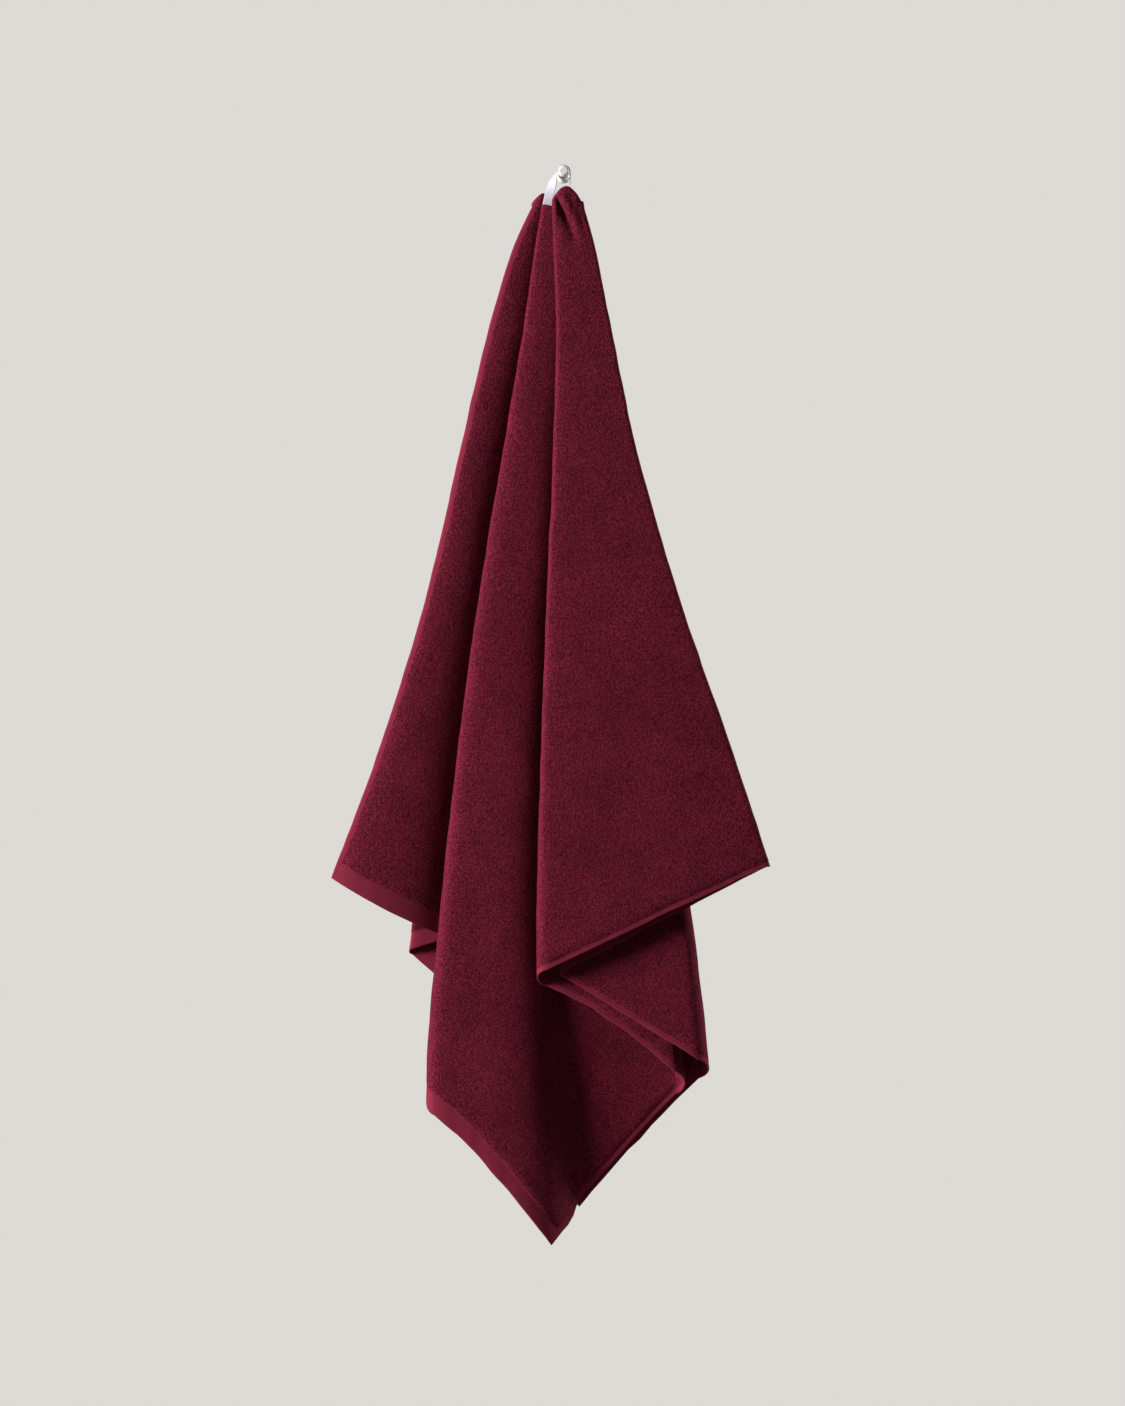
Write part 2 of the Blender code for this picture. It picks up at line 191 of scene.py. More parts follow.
# The end hem's own end stands out a little at its corner, and the side hem beside it is drawn up.
CORNER_END = ((0, 0.07, 0.15, 0.18, 0.21, 0.30, 0.45), (0, 2, 6, 1, -5, -5, 0))
HEM_TURN = 1.3
# The hem's own unevenness: its waves up and down, its puckers off the wall and how many lie on a metre of
# it, and the height above the seam where they start.
HEM_WAVE = 2.4
PUCKER = 1.3
PUCKERS_A_METRE = 80
PUCKER_START = 15
PUCKER_FADE = 20
# How much the free edge and the outer corners of the top are blunted.
EDGE_TURN_IN = 3.5
LEFT_CORNER_DROP = 8
RIGHT_CORNER_DROP = 5
FRONT_FOLD_DROP = 5
# Slight waves of the whole bunch of layers, none down to CALM_TO and whole CALM_FADE lower: amount, length
# across, length down and seed.
CALM_TO = 70
CALM_FADE = 120
WAVES_ACROSS = ((0.9, 60, 42, 11.0), (0.5, 30, 19, 17.0))
WAVES_OFF = ((1.1, 70, 95, 3.1), (0.3, 26, 38, 7.7))


# The sheet's hung shape

def stations(heights, values, height):
    """Value of a table row at a height, along a smooth curve through its stations."""
    last = len(heights) - 1
    if height >= heights[last]:
        slope = (values[last] - values[last - 1]) / (heights[last] - heights[last - 1])
        return values[last] + slope * (height - heights[last])
    if height <= heights[0]:
        slope = (values[1] - values[0]) / (heights[1] - heights[0])
        return values[0] + slope * (height - heights[0])
    i = max(k for k in range(last) if heights[k] <= height)
    span = heights[i + 1] - heights[i]
    t = (height - heights[i]) / span

    def slope_at(k):
        low = max(k - 1, 0)
        high = min(k + 1, last)
        return (values[high] - values[low]) / (heights[high] - heights[low])

    a = slope_at(i) * span
    b = slope_at(i + 1) * span
    rise = values[i + 1] - values[i]
    return values[i] + t * (a + t * (3 * rise - 2 * a - b + t * (a + b - 2 * rise)))


def held(heights, values, height):
    """As stations, but level above the first height and below the last."""
    return stations(heights, values, min(max(height, heights[0]), heights[-1]))


def smooth(t):
    t = min(max(t, 0.0), 1.0)
    return t * t * (3 - 2 * t)


def through(values, share):
    """Smooth run through values at even steps of a row."""
    if len(values) > 3:
        return held([i / (len(values) - 1) for i in range(len(values))], values, share)
    if share < 0.5:
        return values[0] + (values[1] - values[0]) * smooth(2 * share)
    return values[1] + (values[2] - values[1]) * smooth(2 * share - 1)


def bump(x, middle, width):
    return math.exp(-((x - middle) / width) ** 2)


def fading(distance, width):
    """1 at a line and less with the distance past it."""
    return math.exp(-max(distance, 0.0) / width)


def line_x(name, height):
    return stations(STATIONS, LINES[name].across, height)


def valley(x, height):
    """Depth of the soft valley that runs down the middle of the centre panel, mm."""
    deep = held(*VALLEY_DEEP, height)
    middle = held(*VALLEY_MIDDLE, height)
    if x < middle:
        return deep / (1 + ((x - middle) / held(*VALLEY_LEFT, height)) ** 2)
    kept = held(*VALLEY_KEPT, height)
    aside = held(*VALLEY_ASIDE, height) * max(x - VALLEY_ASIDE_FROM, 0.0)
    return deep * (kept + (1 - kept) / (1 + ((x - middle) / held(*VALLEY_RIGHT, height)) ** 2)) + aside


def dent(x, height):
    """How far the gathers and the crease under the loop press the front layer back, mm."""
    if height > DENTED_TO:
        return 0.0
    line = held(*CREASE_X, height)
    crease = held(*CREASE_DEEP, height) * bump(x, line, held(*CREASE_WIDTH, height))
    crest = held(*CREST_HIGH, height) * bump(x, line + CREST_ASIDE, CREST_WIDTH)
    leaning = (x + GATHERS_LEAN * height) / GATHERS_ACROSS
    gathers = noise.noise(Vector((leaning, height / GATHERS_DOWN, 23.0)))
    return crease - crest + held(*GATHERS_DEEP, height) * gathers


def pressed(depth, x, height):
    """A depth with the dent, which each layer further back takes less of, mm."""
    return depth - dent(x, height) * min(max((depth - DENT_NONE) / DENT_FADE, 0.0), 1.0)


def left_wing_form(x, height, share):
    edge = line_x("end_a", height)
    ridge = line_x("fold_6", height)
    tuck = WING_TUCK * smooth((x + 17) / 9) * (1 - smooth((height - 34) / 14))
    shown = min(max((x - edge) / (ridge - edge), 0.0), 1.0)
    crest = held(*WING_CREST, height) * (1 - shown ** 3)
    roll = held(*WING_ROLL, height) * fading(x - edge, held(*WING_ROLL_WIDTH, height))
    drop = held(*WING_DROP, height) * fading(abs(ridge - x), WING_DROP_WIDTH)
    return crest - tuck - roll - drop


def centre_form(x, height, share):
    wave = held(*CENTRE_WAVE, height) * math.sin(math.pi * share) * math.sin(5 * share)
    return wave - held(*RIDGE_ROUND, height) * fading(x - line_x("fold_6", height), RIDGE_WIDTH)


def right_wing_form(x, height, share):
    belly = held(*BELLY, height) * math.sin(math.pi * share)
    return belly - FRONT_TURN * fading(x - line_x("fold_1", height), FRONT_TURN_WIDTH)


def second_panel_form(x, height, share):
    return held(*SECOND_LIFT, height) * smooth(share)


# How far a panel stands off the depth that its table gives, mm
FORMS = {
    "left_wing": left_wing_form,
    "centre": centre_form,
    "right_wing": right_wing_form,
    "second_panel": second_panel_form,
}


def panel_depth(panel, x, height, share):
    """Distance of a panel's middle surface from the wall, mm; share runs 0 to 1 across the panel."""
    depth = held(DEPTH_STATIONS, panel.depths, height) - panel.valley * valley(x, height)
    if panel.name in FORMS:
        depth += FORMS[panel.name](x, height, share)
    return pressed(depth, x, height)


def fold_edge(k, height):
    """x of the fold line after panel k, and how far its rounding reaches in, at a height, mm."""
    name = PANELS[k].end
    x = line_x(name, height)
    before = panel_depth(PANELS[k], x, height, 1.0)
    after = panel_depth(PANELS[k + 1], x, height, 0.0)
    half = 0.5 * abs(before - after)
    reach = max(held(*FOLD_ROUND, height) * half, math.sqrt(SHARPEST * half))
    return x, min(reach, half, WIDEST_AT.get(name, WIDEST))


def panel_sides(k, height):
    """x of panel k's two sides at a height, inside the roundings of its folds, mm."""
    panel = PANELS[k]
    left = line_x(panel.start, height)
    right = line_x(panel.end, height)
    if k > 0:
        left -= LINES[panel.start].side * fold_edge(k - 1, height)[1]
    if k < LAST_PANEL:
        right -= LINES[panel.end].side * fold_edge(k, height)[1]
    return left, right


def between(near, far, share):
    """Height of a straight hem that a ray reaches, given as a share of the way between two fold lines."""
    e = near * share / (near * share + far * (1 - share) + 1e-9)
    return near + (far - near) * e


def hem_height(panel, share):
    """Height of a panel's hem below the cloth's origin at a share of its width, mm."""
    start, end = panel.start, panel.end
    bow = panel.bow
    if panel.name in CORNERS:
        middle, corner = CORNERS[panel.name]
        if share <= corner:
            end = middle
            share = share / corner
        else:
            start = middle
            share = (share - corner) / (1 - corner)
        bow = CORNER_BOWS.get(start, 0)
    near, far = LINES[start].hem, LINES[end].hem
    bow += HEM_WAVE * noise.noise(Vector((7 * share, near / 100, 41.0)))
    hem = between(near, far, share) + bow * math.sin(math.pi * share)
    return hem + held(*CORNER_END, share) if start == "corner_b" else hem


def hem_change(k):
    """How much lower the hem runs over half of the rounding between panel k and the next one, mm."""
    slopes = []
    for panel, ends in ((PANELS[k], (0.9, 1.0)), (PANELS[k + 1], (0.0, 0.1))):
        low, high = (hem_height(panel, share) for share in ends)
        middle = 0.5 * (low + high)
        width = 0.1 * abs(line_x(panel.end, middle) - line_x(panel.start, middle))
        slopes.append((high - low) / math.hypot(width, high - low))
    reach = fold_edge(k, LINES[PANELS[k].end].hem)[1]
    return HEM_TURN * 0.5 * sum(slopes) * 0.5 * math.pi * reach


HEM_CHANGES = [hem_change(k) for k in range(LAST_PANEL)]


# The sheet's columns and rows

def columns():
    """One entry a column of the loft: (kind, panel or fold index, parameter).

    A rim column runs at a fixed distance from the free side edge, a panel column at a fixed share of the
    panel, and a fold column at a fixed turn, -1 to 1, of the rounding. A corner of the sheet and the corner
    of its pile have a column each.
    """
    made = [("rim", 0, 0.0)]
    made.extend(("rim", 0, step) for step in RIM_STEPS)
    for k, panel in enumerate(PANELS):
        steps = panel.strips
        corner = CORNERS.get(panel.name, (None, 0.5))[1]
        half = round(steps * corner)
        shares = [corner * i / half for i in range(1, half + 1)]
        shares.extend(corner + (1 - corner) * i / (steps - half) for i in range(1, steps - half))
        if panel.name in CORNERS:
            shares.append(pile_corner_share(panel))
            shares.sort()
        made.extend(("panel", k, share) for share in shares)
        if k < LAST_PANEL:
            made.extend(("fold", k, -1 + 2 * i / FOLD_PARTS) for i in range(FOLD_PARTS + 1))
    made.extend(("rim", LAST_PANEL, -step) for step in reversed(RIM_STEPS))
    made.append(("rim", LAST_PANEL, -0.0))
    return made


def pile_corner_share(panel):
    """Share of a corner panel at which the pile's own corner, inside both hems, lies."""
    name, corner = CORNERS[panel.name]
    turn = math.degrees(math.atan2(HALF_SIDE - SIDE_HEM, HALF_SIDE - END_HEM)) - 45.0
    middle = LINES[name].angle
    if panel.name == "centre":
        return corner + (1 - corner) * turn / (LINES[panel.end].angle - middle)
    return corner - corner * turn / (middle - LINES[panel.start].angle)


def share_at(column, width):
    """Share of its panel at which a rim or panel column runs, where the panel is that wide, mm."""
    kind, k, t = column
    if k not in (0, LAST_PANEL):
        return t
    # Here the panel's columns share what the side hem's leave.
    rim = RIM_STEPS[-1]
    step = abs(t) if kind == "rim" else rim + (width - rim) * (t if k == 0 else 1.0 - t)
    return step / width if k == 0 else 1.0 - step / width


def column_share(column):
    """Share of its panel at which a column reaches the hem."""
    k = column[1]
    line = PANELS[k].start if k == 0 else PANELS[k].end
    left, right = panel_sides(k, LINES[line].hem)
    return share_at(column, abs(right - left))


def flat_angle(column):
    """The column's angle about the loop on the flat sheet, in radians."""
    kind, k, t = column
    panel = PANELS[k]
    if kind == "fold":
        return math.radians(LINES[panel.end].angle + FOLD_TAKES * t)
    share = column_share(column)
    start = LINES[panel.start].angle + (FOLD_TAKES if k > 0 else 0.0)
    end = LINES[panel.end].angle - (FOLD_TAKES if k < LAST_PANEL else 0.0)
    if panel.name in CORNERS:
        name, corner = CORNERS[panel.name]
        middle = LINES[name].angle
        if share <= corner:
            return math.radians(start + (middle - start) * share / corner)
        return math.radians(middle + (end - middle) * (share - corner) / (1 - corner))
    return math.radians(start + (end - start) * share)


def reach_to(angle, side, end):
    """Length of a ray from the loop on the flat sheet to lines at those distances: side and end hems."""
    along = side / max(math.sin(angle), 1e-6)
    across = end / max(abs(math.cos(angle)), 1e-6)
    return min(along, across)


def place(column, height):
    """(x, depth) of a column at a height, mm, before the cloth's unevenness."""
    kind, k, t = column
    panel = PANELS[k]
    if kind == "fold":
        x, reach = fold_edge(k, height)
        x -= LINES[panel.end].side * reach * (1 - math.cos(0.5 * math.pi * t))
        before = panel_depth(panel, x, height, 1.0)
        after = panel_depth(PANELS[k + 1], x, height, 0.0)
        return x, before + (after - before) * 0.5 * (1 + math.sin(0.5 * math.pi * t))
    left, right = panel_sides(k, height)
    share = share_at(column, abs(right - left))
    x = left + (right - left) * share
    if panel.name == "left_wing":
        # The free edge's top turns in towards the loop.
        x += EDGE_TURN_IN * max(1 - share / 0.25, 0.0) * fading(height - 27, 5)
    return x, panel_depth(panel, x, height, share)


def column_range(column):
    """Top and hem heights and the hood's reach for a column, mm."""
    kind, k, t = column
    if kind == "fold":
        return fold_range(k, t)
    panel = PANELS[k]
    share = column_share(column)
    first = last = share
    if panel.name in CORNERS:
        corner = CORNERS[panel.name][1]
        first = min(share / corner, 1.0)
        last = max((share - corner) / (1 - corner), 0.0)
    hem = hem_height(panel, share)
    if k > 0:
        hem += (1 - first) * HEM_CHANGES[k - 1]
    if k < LAST_PANEL:
        hem -= last * HEM_CHANGES[k]
    left, right = panel_sides(k, STATIONS[0])
    above = share_at(column, abs(right - left))
    top = through(panel.tops, above)
    # The two outer corners of the top are blunt.
    if panel.name == "left_wing":
        top += LEFT_CORNER_DROP * fading(above, 0.025)
    if panel.name == "right_wing":
        top += RIGHT_CORNER_DROP * fading(1 - above, 0.05)
    return top, hem, through(panel.hoods, above)


def fold_range(k, t):
    """Top and hem heights and the hood's reach at a turn of the rounding after panel k, mm."""
    before, after = PANELS[k], PANELS[k + 1]
    hood = before.hoods[-1] + (after.hoods[0] - before.hoods[-1]) * smooth(0.5 * (t + 1))
    near, far = before.tops[-1], after.tops[0]
    mix = smooth(t) if near < far else smooth(t + 1)
    top = near + (far - near) * mix
    if before.name == "right_wing":
        top += RIGHT_CORNER_DROP * (1 - mix)
    if before.end == "fold_1":
        top += FRONT_FOLD_DROP * (1 - t * t)
    along = 0.3 * t + 0.7 * math.sin(0.5 * math.pi * t)
    return top, LINES[before.end].hem + HEM_CHANGES[k] * along, hood


def row_stops(top, hem, hood, seam):
    """A column's rows from top to hem: height, the hood's reach back and lift (mm), and pile weight."""
    rise = max(hood, HOOD_RISE)
    start = top + rise
    stops = []
    for degrees in HOOD_ANGLES:
        turn = math.radians(degrees)
        stops.append((start, hood * (1 - math.cos(turn)), rise * math.sin(turn), 1.0))
    above = seam - SEAM_GAPS[0]
    for j in range(ROWS + 1):
        stops.append((start + (above - start) * (j / ROWS) ** ROW_CROWDING, 0.0, 0.0, 1.0))
    below = seam + SEAM_GAPS[1]
    for part, weight in HEM_ROWS:
        stops.append((below + (hem - below) * part, 0.0, 0.0, weight))
    return stops


def rim_weight(column):
    """Share of the pile's thickness in a column: less in the side hems than elsewhere."""
    if column[0] != "rim":
        return 1.0
    return next(weight for end, weight in RIM_WEIGHTS if abs(column[2]) < end)


def waves(table, x, height):
    parts = (high * noise.noise(Vector((x / wide, height / long, seed))) for high, wide, long, seed in table)
    return sum(parts)


def sheet_grid():
    """Points (m), flat positions (m) and pile weights of the sheet's middle surface, one list a column."""
    origin = Vector((CLOTH_ACROSS, 0.0, -CLOTH_DOWN))
    grid = []
    for column in columns():
        kind, k, t = column
        top, hem, hood = column_range(column)
        angle = flat_angle(column)
        edge_reach = reach_to(angle, HALF_SIDE, HALF_SIDE)
        pile_reach = reach_to(angle, HALF_SIDE - SIDE_HEM, HALF_SIDE - END_HEM)
        seam = hem * pile_reach / edge_reach
        pucker = PUCKER * noise.noise(Vector((PUCKERS_A_METRE * edge_reach * angle, 0.0, 51.0)))
        points = []
        for height, back, lift, weight in row_stops(top, hem, hood, seam):
            x, depth = place(column, height)
            waving = smooth((height - CALM_TO) / CALM_FADE)
            across = waving * waves(WAVES_ACROSS, x, height)
            off = waving * waves(WAVES_OFF, x, height)
            off += pucker * smooth((height - seam + PUCKER_START) / PUCKER_FADE)
            point = Vector((x + across, -(depth - back + off), lift - height)) + origin
            r = edge_reach * (height - lift) / hem
            v = r * math.sin(angle)
            if kind != "fold" and k in (0, LAST_PANEL):
                left, right = panel_sides(k, height)
                v = 0.001 * abs((left if k == 0 else right) - x)
            points.append((0.001 * point, (r * math.cos(angle), v), min(weight, rim_weight(column))))
        grid.append(points)
    return grid


# The pieces

def grid_piece(name, uv_name, points):
    """A piece from a grid of points with UVs, one list a column, and each vertex's (column, row)."""
    across, down = len(points) - 1, len(points[0]) - 1
    bm = bmesh.new()
    bmesh.ops.create_grid(bm, x_segments=across, y_segments=down, size=1.0)
    bm.verts.index_update()
    layer = bm.loops.layers.uv.new(uv_name)
    spots = []
    for vert in bm.verts:
        i = round(0.5 * (vert.co.x + 1.0) * across)
        j = round(0.5 * (1.0 - vert.co.y) * down)
        spots.append((i, j))
        vert.co = points[i][j][0]
    for face in bm.faces:
        face.smooth = True
        for loop in face.loops:
            i, j = spots[loop.vert.index]
            loop[layer].uv = points[i][j][1]
    mesh = bpy.data.meshes.new(name)
    bm.to_mesh(mesh)
    bm.free()
    piece = bpy.data.objects.new(name, mesh)
    bpy.context.scene.collection.objects.link(piece)
    return piece, spots


def sheet_piece():
    grid = sheet_grid()
    piece, spots = grid_piece("bath_sheet_cloth", "flat", grid)
    weights = {}
    for index, (i, j) in enumerate(spots):
        weights.setdefault(round(grid[i][j][2], 3), []).append(index)
    group = piece.vertex_groups.new(name="pile")
    for weight, verts in weights.items():
        group.add(verts, weight, "REPLACE")
    shell = piece.modifiers.new("thickness", "SOLIDIFY")
    shell.thickness = PILE_THICKNESS
    shell.offset = 0.0
    shell.use_even_offset = False
    shell.vertex_group = "pile"
    shell.thickness_vertex_group = 0.0
    return piece


# The tape up to the peg and down from it: x and z from the peg's axis and distance from the wall, in mm, and
# the way its width runs, in degrees
TAPE_UP = (
    (-20.6, -46.5, 16.7, 0),
    (-20.3, -41.0, 16.8, 1),
    (-19.0, -33.5, 17.8, 6),
    (-16.4, -23.0, 20.4, 15),
    (-13.6, -13.0, 23.2, 34),
    (-11.0, -6.0, 24.8, 60),
    (-8.9, -0.8, 25.3, 82),
)
TAPE_DOWN = (
    (8.0, -4.5, 25.5, 90),
    (8.1, -11.5, 25.0, 90),
    (7.3, -19.5, 23.8, 84),
    (5.6, -29.0, 21.6, 64),
    (2.4, -38.0, 19.2, 36),
    (-1.2, -46.0, 17.4, 12),
    (-3.4, -52.5, 16.75, 2),
    (-4.4, -58.0, 16.7, 0),
)
# Its turn over the peg: from the peg's face to the tape's middle and from the wall, in mm, and its first
# angle, its step and the number of its points.
TAPE_OVER = 0.95
TAPE_OUT = 25.5
TAPE_TURN = (162, 18.2, 10)
TAPE_ACROSS = 8
TAPE_FINE = 5


def tape_path():
    """Points along the tape's middle line with the turn of its width."""
    over = PEG_RADIUS_MM + TAPE_OVER
    first, step, count = TAPE_TURN
    stops = list(TAPE_UP)
    for i in range(count):
        a = math.radians(first - step * i)
        stops.append((over * math.cos(a), over * math.sin(a), TAPE_OUT, 90))
    stops.extend(TAPE_DOWN)
    fine = []
    for i in range(len(stops) - 1):
        before = stops[max(i - 1, 0)]
        after = stops[min(i + 2, len(stops) - 1)]
        for j in range(TAPE_FINE):
            t = j / TAPE_FINE
            row = []
            for p, q, r, s in zip(before, stops[i], stops[i + 1], after):
                bend = (2 * p - 5 * q + 4 * r - s) * t * t + (3 * q - p - 3 * r + s) * t * t * t
                row.append(0.5 * (2 * q + (r - p) * t + bend))
            fine.append(tuple(row))
    fine.append(stops[-1])
    return fine


def tape_points():
    """Points (m) and UVs (m) over the tape's middle surface, one list for each line along it."""
    path = tape_path()
    run = [0.0]
    for a, b in zip(path[:-1], path[1:]):
        run.append(run[-1] + 0.001 * math.dist(a[:3], b[:3]))
    lines = []
    for i in range(TAPE_ACROSS + 1):
        aside = TAPE_WIDTH_MM * (i / TAPE_ACROSS - 0.5)
        line = []
        for j, (x, z, out, turn) in enumerate(path):
            before = path[max(j - 1, 0)]
            after = path[min(j + 1, len(path) - 1)]
            length = math.hypot(after[0] - before[0], after[1] - before[1])
            flat = aside * math.cos(math.radians(turn)) / length
            off = aside * math.sin(math.radians(turn))
            x += flat * (after[1] - before[1])
            z -= flat * (after[0] - before[0])
            line.append((0.001 * Vector((x, -out - off, z)), (0.001 * aside, run[j])))
        lines.append(line)
    return lines


def tape_piece():
    piece = grid_piece("loop_tape", "weave", tape_points())[0]
    shell = piece.modifiers.new("thickness", "SOLIDIFY")
    shell.thickness = TAPE_THICKNESS
    shell.offset = 0.0
    soften = piece.modifiers.new("soft edges", "BEVEL")
    soften.width = 0.00025
    soften.segments = 2
    soften.limit_method = "ANGLE"
    return piece


# Finishes

class Finish:
    """A node material under construction; each method adds one node and returns its output."""

    def __init__(self, name, roughness):
        self.material = bpy.data.materials.new(name)
        self.material.use_nodes = True
        self.nodes = self.material.node_tree.nodes
        self.links = self.material.node_tree.links
        self.shader = self.nodes["Principled BSDF"]
        self.shader.inputs["Roughness"].default_value = roughness

    def plug(self, socket, value):
        """Link a node's output to a socket, or set the socket to a number or an RGB colour."""
        if isinstance(value, bpy.types.NodeSocket):
            self.links.new(value, socket)
        elif isinstance(value, tuple):
            socket.default_value = (*value, 1.0)
        elif value is not None:
            socket.default_value = value

    def here(self):
        """Object coordinates, in metres."""
        return self.nodes.new("ShaderNodeTexCoord").outputs["Object"]

    def flat(self, name):
        """(u, v) of a UV map, in metres on the flat cloth."""
        node = self.nodes.new("ShaderNodeUVMap")
        node.uv_map = name
        split = self.nodes.new("ShaderNodeSeparateXYZ")
        self.links.new(node.outputs["UV"], split.inputs[0])
        return split.outputs["X"], split.outputs["Y"]

    def noise(self, where, scale, detail=2.0, roughness=0.5, distortion=0.0):
        node = self.nodes.new("ShaderNodeTexNoise")
        self.plug(node.inputs["Vector"], where)
        node.inputs["Scale"].default_value = scale
        node.inputs["Detail"].default_value = detail
        node.inputs["Roughness"].default_value = roughness
        node.inputs["Distortion"].default_value = distortion
        return node.outputs["Fac"]

    def cells(self, where, scale):
        node = self.nodes.new("ShaderNodeTexVoronoi")
        self.plug(node.inputs["Vector"], where)
        node.inputs["Scale"].default_value = scale
        return node.outputs["Distance"]

    def math(self, operation, a, b=None):
        node = self.nodes.new("ShaderNodeMath")
        node.operation = operation
        self.plug(node.inputs[0], a)
        self.plug(node.inputs[1], b)
        return node.outputs[0]

    def ramp(self, value, low, high, to_low=0.0, to_high=1.0):
        """A value between low and high, stretched to run from to_low to to_high and held there."""
        node = self.nodes.new("ShaderNodeMapRange")
        self.plug(node.inputs["Value"], value)
        node.inputs["From Min"].default_value = low
        node.inputs["From Max"].default_value = high
        node.inputs["To Min"].default_value = to_low
        node.inputs["To Max"].default_value = to_high
        return node.outputs["Result"]

    def mix(self, share, a, b):
        node = self.nodes.new("ShaderNodeMix")
        node.data_type = "RGBA"
        self.plug(node.inputs["Factor"], share)
        self.plug(node.inputs[6], a)
        self.plug(node.inputs[7], b)
        return node.outputs[2]

    def mix_normal(self, share, a, b):
        node = self.nodes.new("ShaderNodeMix")
        node.data_type = "VECTOR"
        self.plug(node.inputs["Factor"], share)
        self.plug(node.inputs[4], a)
        self.plug(node.inputs[5], b)
        return node.outputs[1]

    def tint(self, colour, value):
        """A colour made lighter or darker by a value about 1."""
        node = self.nodes.new("ShaderNodeHueSaturation")
        self.plug(node.inputs["Value"], value)
        self.plug(node.inputs["Color"], colour)
        return node.outputs["Color"]

    def relief(self, height, distance, strength):
        node = self.nodes.new("ShaderNodeBump")
        node.inputs["Distance"].default_value = distance
        node.inputs["Strength"].default_value = strength
        self.plug(node.inputs["Height"], height)
        return node.outputs["Normal"]

    def finish(self, colour, normal=None):
        self.plug(self.shader.inputs["Base Color"], colour)
        self.plug(self.shader.inputs["Normal"], normal)
        return self.material


def terry_and_hems():
    """Burgundy terry with its flat woven hems, told apart by the place on the flat sheet."""
    f = Finish("terry_and_hems", 0.92)
    f.shader.inputs["Sheen Weight"].default_value = 0.12
    f.shader.inputs["Sheen Roughness"].default_value = 0.45
    f.shader.inputs["Sheen Tint"].default_value = (1.0, 0.22, 0.34, 1.0)
    f.shader.inputs["Specular IOR Level"].default_value = 0.06
    here = f.here()

    # Loops of the pile: crooked tufts about 2 mm across, with painted shade in the dark gaps between them and
    # a painted highlight on their lighter tips.
    gap_shade = (0.050, 0.0030, 0.0090)
    tuft = (0.132, 0.0085, 0.0235)
    tip = (0.205, 0.0185, 0.0430)
    tufts = f.noise(here, 520.0, detail=2.5, roughness=0.62, distortion=0.9)
    clumps = f.cells(here, 470.0)
    pile = f.math("SUBTRACT", tufts, f.math("MULTIPLY", clumps, 0.30))
    pile = f.ramp(pile, 0.22, 0.50)
    nap = f.noise(here, 17.0, detail=3.0, roughness=0.6)
    # The gap colour is painted shade between the tufts.
    colour = f.mix(f.ramp(pile, 0.0, 0.55), gap_shade, tuft)
    # Lightening towards the tip colour paints a highlight on the tops of the loops.
    colour = f.mix(f.ramp(pile, 0.62, 1.0, 0.0, 0.7), colour, tip)
    colour = f.tint(colour, f.ramp(nap, 0.35, 0.65, 0.90, 1.10))

    # How far a spot lies inside the nearest hem, in metres, with a ragged line where the pile ends.
    u, v = f.flat("flat")
    end_in = f.math("SUBTRACT", f.math("ABSOLUTE", u), HALF_SIDE - END_HEM)
    far_side_in = f.math("SUBTRACT", v, HALF_SIDE - SIDE_HEM)
    loop_side_in = f.math("SUBTRACT", SIDE_HEM, v)
    inside = f.math("MAXIMUM", end_in, f.math("MAXIMUM", far_side_in, loop_side_in))
    ragged = f.math("MULTIPLY", f.math("SUBTRACT", tufts, 0.5), 0.004)
    is_hem = f.ramp(f.math("ADD", inside, ragged), -0.0003, 0.0003)

    # Hems: a plain weave with faint slubs, and a darker line by the pile, painted shade in the groove of the
    # stitching.
    weave = (0.176, 0.0155, 0.0337)
    yarn = f.noise(here, 900.0, detail=1.0)
    slub = f.noise(here, 60.0, detail=3.0, roughness=0.65)
    stitch_groove_shade = f.math("ABSOLUTE", f.math("SUBTRACT", inside, 0.0021))
    woven = f.tint(weave, f.ramp(yarn, 0.3, 0.7, 0.93, 1.07))
    woven = f.tint(woven, f.ramp(slub, 0.3, 0.7, 0.93, 1.07))
    # Darkening along the stitch line is painted shade of its groove.
    woven = f.tint(woven, f.ramp(stitch_groove_shade, 0.0002, 0.0008, 0.72, 1.0))

    normal = f.mix_normal(is_hem, f.relief(pile, 0.0016, 0.45), f.relief(yarn, 0.00015, 0.6))
    return f.finish(f.mix(is_hem, colour, woven), normal)


def woven_tape():
    """Off-white cotton tape with fine ribs across it, fainter along its edges."""
    rib_pitch = 0.0010
    f = Finish("woven_tape", 0.75)
    f.shader.inputs["Sheen Weight"].default_value = 0.1
    across, along = f.flat("weave")
    rib = f.ramp(f.math("SINE", f.math("MULTIPLY", along, 2 * math.pi / rib_pitch)), -1.0, 1.0)
    rib = f.math("MULTIPLY", rib, f.ramp(f.math("ABSOLUTE", across), 0.0044, 0.0048, 1.0, 0.4))
    fuzz = f.noise(f.here(), 1500.0, detail=2.0)
    colour = f.mix(rib, (0.44, 0.42, 0.48), (0.64, 0.62, 0.68))
    colour = f.tint(colour, f.ramp(fuzz, 0.3, 0.7, 0.94, 1.04))
    return f.finish(colour, f.relief(rib, 0.0002, 0.7))


def peg_paint():
    """Satin paint with a faint orange peel."""
    f = Finish("peg_satin_paint", 0.42)
    peel = f.noise(f.here(), 700.0, detail=2.0)
    cloud = f.noise(f.here(), 90.0, detail=2.0)
    colour = f.tint((0.76, 0.74, 0.70), f.ramp(cloud, 0.3, 0.7, 0.97, 1.03))
    return f.finish(colour, f.relief(peel, 0.00006, 0.5))


def floor_paint():
    f = Finish("pale_floor", 0.8)
    cloud = f.noise(f.here(), 3.0, detail=3.0)
    return f.finish(f.tint((0.30, 0.29, 0.279), f.ramp(cloud, 0.3, 0.7, 0.99, 1.01)))


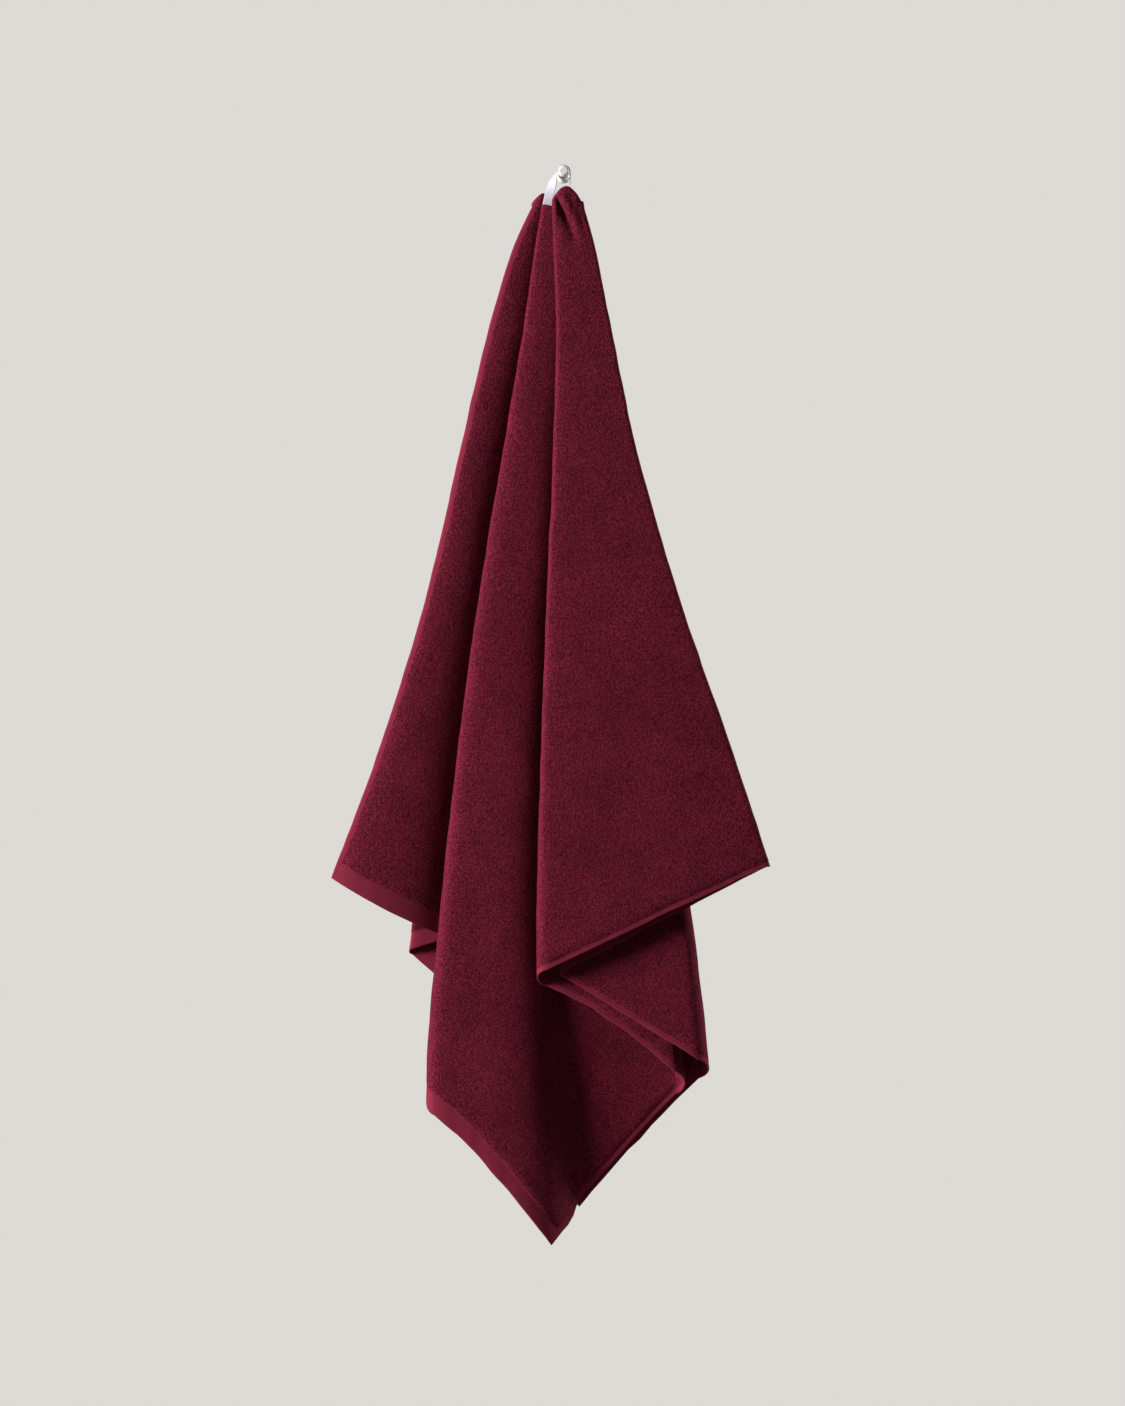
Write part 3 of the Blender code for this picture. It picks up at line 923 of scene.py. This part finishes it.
# The pieces in the frame

cloth = sheet_piece()
cloth.data.materials.append(terry_and_hems())
tape = tape_piece()
tape.data.materials.append(woven_tape())
paint = peg_paint()
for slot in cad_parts["hook"].material_slots:
    slot.material = paint

for piece, node, slot_name in ((cloth, "bath_sheet", "terry"), (tape, "hanging_loop", "tape")):
    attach(piece, "root")
    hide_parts(node)

# The camera, level and straight ahead. The image is 1406 pixels high.

IMAGE_HEIGHT = 1406
METRES_PER_PIXEL = 0.00122
VIEW_DISTANCE = 3.5
VIEW_MIDDLE = Vector((-0.0014, -0.05, -0.6519))
camera_data = bpy.data.cameras.new("camera")
camera_data.sensor_width = 36.0
camera_data.lens = camera_data.sensor_width * VIEW_DISTANCE / (IMAGE_HEIGHT * METRES_PER_PIXEL)
camera = bpy.data.objects.new("camera", camera_data)
camera.location = VIEW_MIDDLE - Vector((0.0, VIEW_DISTANCE, 0.0))
camera.rotation_euler = (math.radians(90), 0.0, 0.0)
bpy.context.scene.collection.objects.link(camera)
bpy.context.scene.camera = camera

# The floor, the lights and the pale room around them

FLOOR_RADIUS = 1.5
FLOOR_Z = -1.95
LIT_MIDDLE = Vector((0.0, -0.05, -0.65))
# Name, place, size (m) and power (W); each lamp faces LIT_MIDDLE.
LAMPS = (
    ("side_key", (-6.0, -2.0, 0.9), 2.0, 985.0),
    ("top_key", (-0.7, -2.2, 1.9), 0.9, 9.0),
    ("back_fill", (0.9, 2.6, 0.6), 1.6, 45.0),
    ("rim_fill", (3.2, 0.75, 0.2), 1.2, 100.0),
)
ROOM_SEEN = (0.730, 0.701, 0.672, 1.0)
ROOM_LIGHT = (0.95, 0.97, 1.0, 1.0)
ROOM_LIGHT_STRENGTH = 0.035


def add_floor():
    bm = bmesh.new()
    bmesh.ops.create_circle(bm, cap_ends=True, segments=96, radius=FLOOR_RADIUS)
    bmesh.ops.translate(bm, verts=bm.verts, vec=(0.0, 0.0, FLOOR_Z))
    mesh = bpy.data.meshes.new("floor")
    bm.to_mesh(mesh)
    bm.free()
    floor = bpy.data.objects.new("floor", mesh)
    floor.data.materials.append(floor_paint())
    bpy.context.scene.collection.objects.link(floor)


def add_lamp(name, spot, size, power):
    data = bpy.data.lights.new(name, "AREA")
    data.shape = "DISK"
    data.size = size
    data.energy = power
    lamp = bpy.data.objects.new(name, data)
    lamp.location = spot
    lamp.rotation_euler = (LIT_MIDDLE - Vector(spot)).to_track_quat("-Z", "Y").to_euler()
    bpy.context.scene.collection.objects.link(lamp)


def add_room():
    """A pale backdrop that gives only a little light of its own."""
    world = bpy.data.worlds.new("pale_room")
    world.use_nodes = True
    bpy.context.scene.world = world
    nodes = world.node_tree.nodes
    links = world.node_tree.links
    seen = nodes["Background"]
    seen.inputs["Color"].default_value = ROOM_SEEN
    seen.inputs["Strength"].default_value = 1.0
    lit = nodes.new("ShaderNodeBackground")
    lit.inputs["Color"].default_value = ROOM_LIGHT
    lit.inputs["Strength"].default_value = ROOM_LIGHT_STRENGTH
    ray = nodes.new("ShaderNodeLightPath")
    pick = nodes.new("ShaderNodeMixShader")
    links.new(ray.outputs["Is Camera Ray"], pick.inputs["Fac"])
    links.new(lit.outputs["Background"], pick.inputs[1])
    links.new(seen.outputs["Background"], pick.inputs[2])
    links.new(pick.outputs["Shader"], nodes["World Output"].inputs["Surface"])


add_floor()
for row in LAMPS:
    add_lamp(*row)
add_room()
bpy.context.scene.view_settings.view_transform = "Standard"
